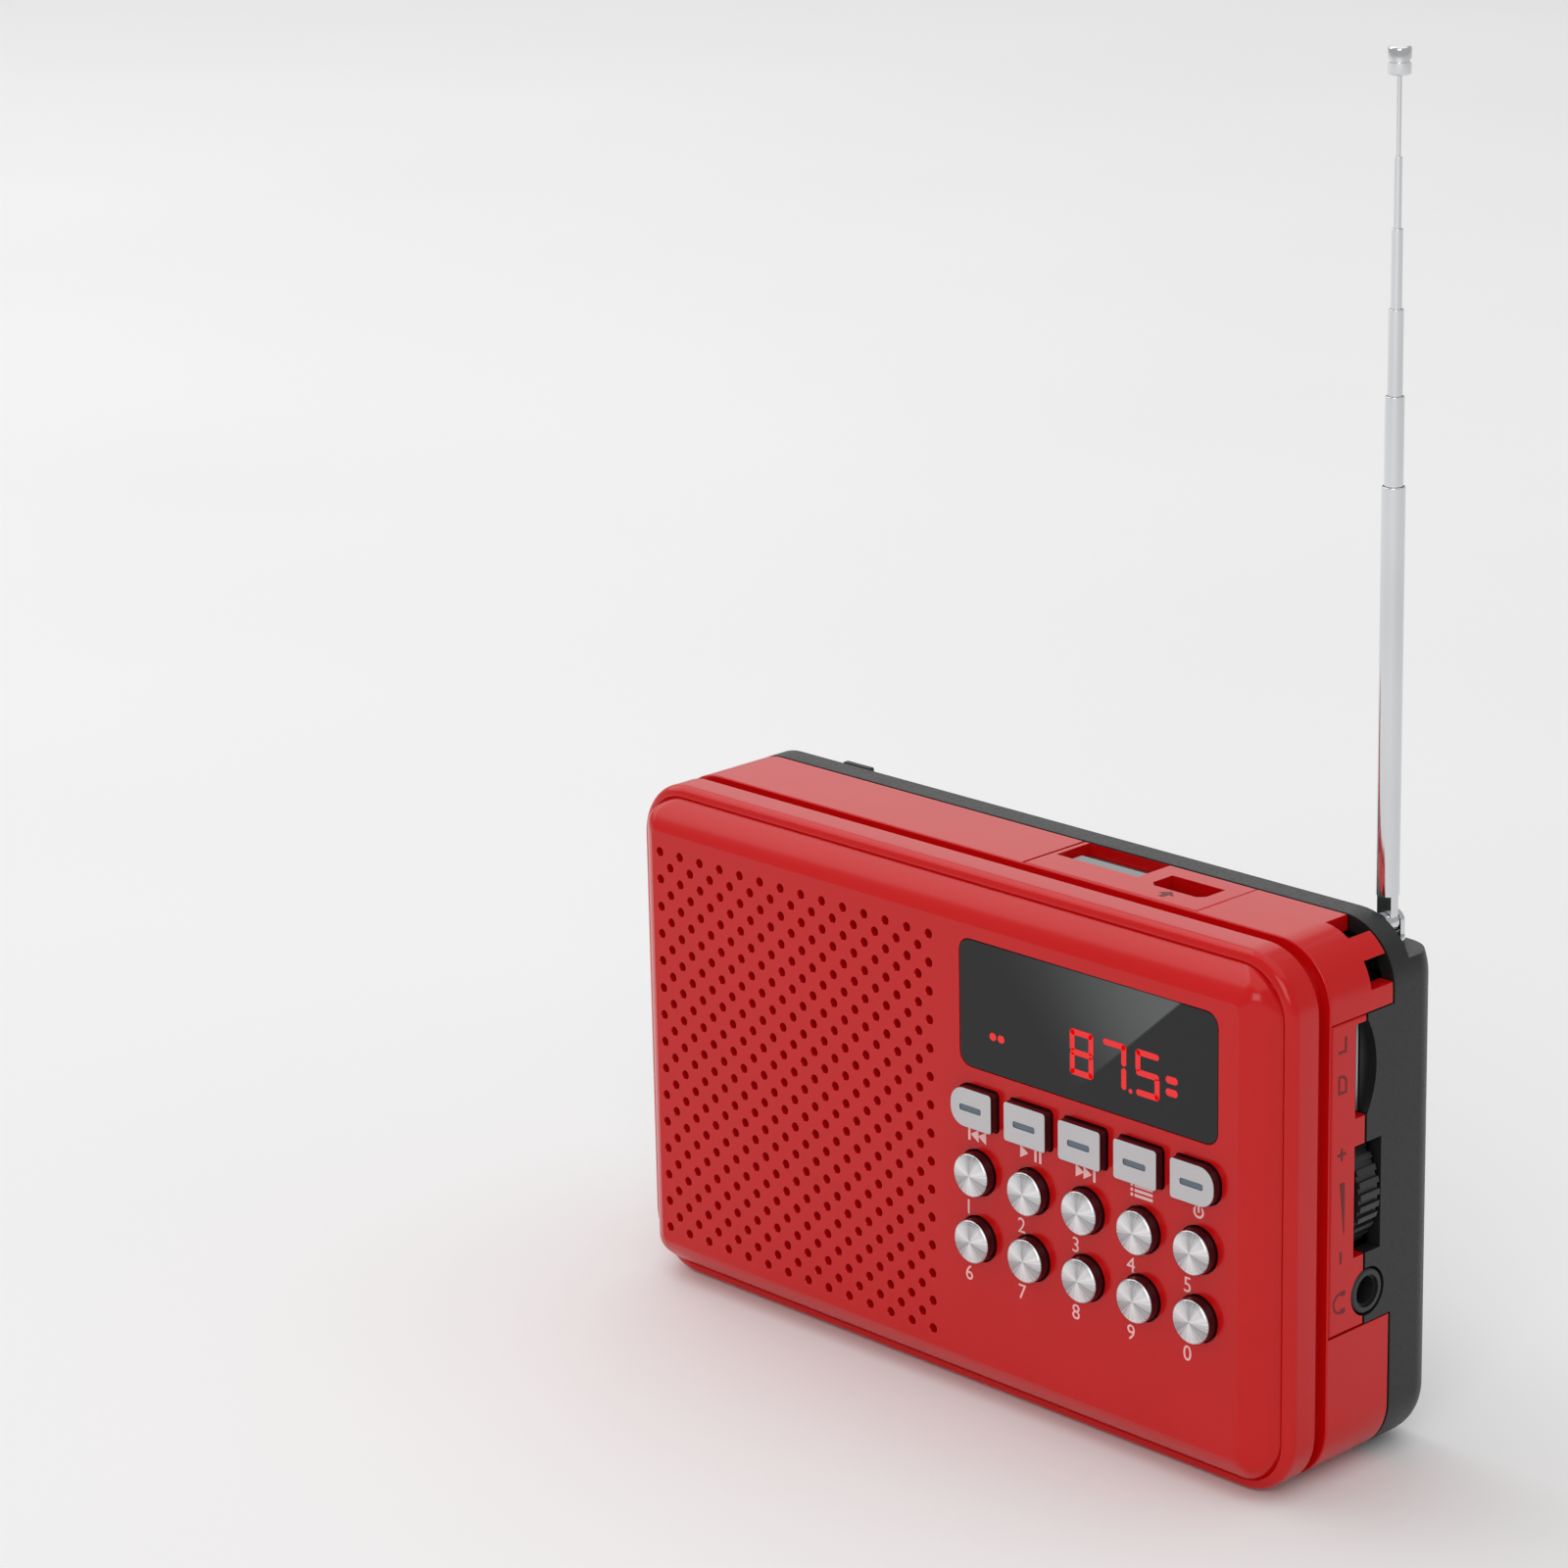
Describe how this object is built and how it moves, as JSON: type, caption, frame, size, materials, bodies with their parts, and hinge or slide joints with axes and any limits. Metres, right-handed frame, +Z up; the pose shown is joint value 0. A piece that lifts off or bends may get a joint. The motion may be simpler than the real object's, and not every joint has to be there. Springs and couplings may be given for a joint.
{
  "type": "pocket radio",
  "caption": "Compact rectangular speaker radio with a perforated grille, display window, keypad, port panels, volume wheel, battery door and folding telescopic antenna.",
  "frame": {"origin": "centre of the bounding box in plan, on the surface the radio stands on", "axes": "+X towards the side with the volume wheel, +Y from the front face to the back, +Z up along the drawn antenna"},
  "size_m": [0.1146, 0.0332, 0.1751],
  "materials": {
    "red_plastic": "high-gloss injection-moulded ABS",
    "black_plastic": "fine satin texture",
    "window_plastic": "polished tinted acrylic",
    "grey_key_plastic": "satin",
    "spun_metal": "radially spun",
    "chrome": "polished plating",
    "plated_steel": "bright plated",
    "contact_brass": "bright",
    "circuit_board": "solder mask",
    "dark_plastic": "as moulded",
    "silicone": "silicone rubber",
    "pressed_paper": "pressed paper",
    "magnet_coat": "zinc coated",
    "battery_wrap": "plain shrink film"
  },
  "bodies": {
    "casing": {"front_bezel": "red_plastic", "display_window": "window_plastic", "mid_frame": "red_plastic", "top_port_panel": "red_plastic", "side_port_panel": "red_plastic", "rear_cover": "black_plastic", "keypad_mat": "silicone", "key_board": "circuit_board", "display_module": "dark_plastic", "main_board": "circuit_board", "board_header": "dark_plastic", "control_chip": "dark_plastic", "usb_socket": "plated_steel", "usb_tongue": "dark_plastic", "charge_socket": "plated_steel", "card_socket": "plated_steel", "earphone_jack": "dark_plastic", "volume_pot": "dark_plastic", "speaker_frame": "plated_steel", "speaker_cone": "pressed_paper", "speaker_magnet": "magnet_coat", "battery": "battery_wrap", "contact_block": "dark_plastic", "battery_contact_1": "contact_brass", "battery_contact_2": "contact_brass", "battery_contact_3": "contact_brass", "case_screw_1": "plated_steel", "case_screw_2": "plated_steel", "case_screw_3": "plated_steel", "case_screw_4": "plated_steel", "antenna_bracket": "plated_steel", "antenna_screw": "plated_steel"},
    "battery_door": {"battery_door": "black_plastic"},
    "function_key_1": {"function_key_1": "grey_key_plastic"},
    "function_key_2": {"function_key_2": "grey_key_plastic"},
    "function_key_3": {"function_key_3": "grey_key_plastic"},
    "function_key_4": {"function_key_4": "grey_key_plastic"},
    "function_key_5": {"function_key_5": "grey_key_plastic"},
    "number_key_1": {"number_key_1": "spun_metal"},
    "number_key_2": {"number_key_2": "spun_metal"},
    "number_key_3": {"number_key_3": "spun_metal"},
    "number_key_4": {"number_key_4": "spun_metal"},
    "number_key_5": {"number_key_5": "spun_metal"},
    "number_key_6": {"number_key_6": "spun_metal"},
    "number_key_7": {"number_key_7": "spun_metal"},
    "number_key_8": {"number_key_8": "spun_metal"},
    "number_key_9": {"number_key_9": "spun_metal"},
    "number_key_0": {"number_key_0": "spun_metal"},
    "volume_wheel": {"volume_wheel": "dark_plastic"},
    "antenna_swivel": {"antenna_swivel": "chrome", "antenna_pin": "plated_steel"},
    "antenna_mast": {"antenna_section_1": "chrome"},
    "antenna_section_2": {"antenna_section_2": "chrome"},
    "antenna_section_3": {"antenna_section_3": "chrome"},
    "antenna_section_4": {"antenna_section_4": "chrome"},
    "antenna_section_5": {"antenna_section_5": "chrome"},
    "antenna_section_6": {"antenna_section_6": "chrome", "antenna_tip": "chrome"}
  },
  "joints": [
    {"name": "function_key_1_press", "type": "slide", "parent": "casing", "child": "function_key_1", "axis": [0, 1, 0], "range_m": [0, 0.0008], "stiffness_N_per_m": 400},
    {"name": "function_key_2_press", "type": "slide", "parent": "casing", "child": "function_key_2", "axis": [0, 1, 0], "range_m": [0, 0.0008], "stiffness_N_per_m": 400},
    {"name": "function_key_3_press", "type": "slide", "parent": "casing", "child": "function_key_3", "axis": [0, 1, 0], "range_m": [0, 0.0008], "stiffness_N_per_m": 400},
    {"name": "function_key_4_press", "type": "slide", "parent": "casing", "child": "function_key_4", "axis": [0, 1, 0], "range_m": [0, 0.0008], "stiffness_N_per_m": 400},
    {"name": "function_key_5_press", "type": "slide", "parent": "casing", "child": "function_key_5", "axis": [0, 1, 0], "range_m": [0, 0.0008], "stiffness_N_per_m": 400},
    {"name": "number_key_1_press", "type": "slide", "parent": "casing", "child": "number_key_1", "axis": [0, 1, 0], "range_m": [0, 0.0008], "stiffness_N_per_m": 400},
    {"name": "number_key_2_press", "type": "slide", "parent": "casing", "child": "number_key_2", "axis": [0, 1, 0], "range_m": [0, 0.0008], "stiffness_N_per_m": 400},
    {"name": "number_key_3_press", "type": "slide", "parent": "casing", "child": "number_key_3", "axis": [0, 1, 0], "range_m": [0, 0.0008], "stiffness_N_per_m": 400},
    {"name": "number_key_4_press", "type": "slide", "parent": "casing", "child": "number_key_4", "axis": [0, 1, 0], "range_m": [0, 0.0008], "stiffness_N_per_m": 400},
    {"name": "number_key_5_press", "type": "slide", "parent": "casing", "child": "number_key_5", "axis": [0, 1, 0], "range_m": [0, 0.0008], "stiffness_N_per_m": 400},
    {"name": "number_key_6_press", "type": "slide", "parent": "casing", "child": "number_key_6", "axis": [0, 1, 0], "range_m": [0, 0.0008], "stiffness_N_per_m": 400},
    {"name": "number_key_7_press", "type": "slide", "parent": "casing", "child": "number_key_7", "axis": [0, 1, 0], "range_m": [0, 0.0008], "stiffness_N_per_m": 400},
    {"name": "number_key_8_press", "type": "slide", "parent": "casing", "child": "number_key_8", "axis": [0, 1, 0], "range_m": [0, 0.0008], "stiffness_N_per_m": 400},
    {"name": "number_key_9_press", "type": "slide", "parent": "casing", "child": "number_key_9", "axis": [0, 1, 0], "range_m": [0, 0.0008], "stiffness_N_per_m": 400},
    {"name": "number_key_0_press", "type": "slide", "parent": "casing", "child": "number_key_0", "axis": [0, 1, 0], "range_m": [0, 0.0008], "stiffness_N_per_m": 400},
    {"name": "volume_wheel_turn", "type": "hinge", "parent": "casing", "child": "volume_wheel", "pos_m": [0.04825, 0.00275, 0.0365], "axis": [0, 1, 0], "range_deg": [-135, 135]},
    {"name": "battery_door_slide", "type": "slide", "parent": "casing", "child": "battery_door", "axis": [-1, 0, 0], "range_m": [0, 0.012]},
    {"name": "antenna_swivel_turn", "type": "hinge", "parent": "casing", "child": "antenna_swivel", "pos_m": [0.05045, 0.01375, 0.065], "axis": [0, 0, 1], "range_deg": [-180, 180]},
    {"name": "antenna_fold", "type": "hinge", "parent": "antenna_swivel", "child": "antenna_mast", "pos_m": [0.05045, 0.01375, 0.0676], "axis": [0, -1, 0], "range_deg": [0, 90]},
    {"name": "antenna_section_2_slide", "type": "slide", "parent": "antenna_mast", "child": "antenna_section_2", "axis": [0, 0, 1], "range_m": [-0.0105, 0.03]},
    {"name": "antenna_section_3_slide", "type": "slide", "parent": "antenna_section_2", "child": "antenna_section_3", "axis": [0, 0, 1], "range_m": [-0.01, 0.03]},
    {"name": "antenna_section_4_slide", "type": "slide", "parent": "antenna_section_3", "child": "antenna_section_4", "axis": [0, 0, 1], "range_m": [-0.0091, 0.03]},
    {"name": "antenna_section_5_slide", "type": "slide", "parent": "antenna_section_4", "child": "antenna_section_5", "axis": [0, 0, 1], "range_m": [-0.008, 0.03]},
    {"name": "antenna_section_6_slide", "type": "slide", "parent": "antenna_section_5", "child": "antenna_section_6", "axis": [0, 0, 1], "range_m": [-0.0091, 0.03]}
  ]
}
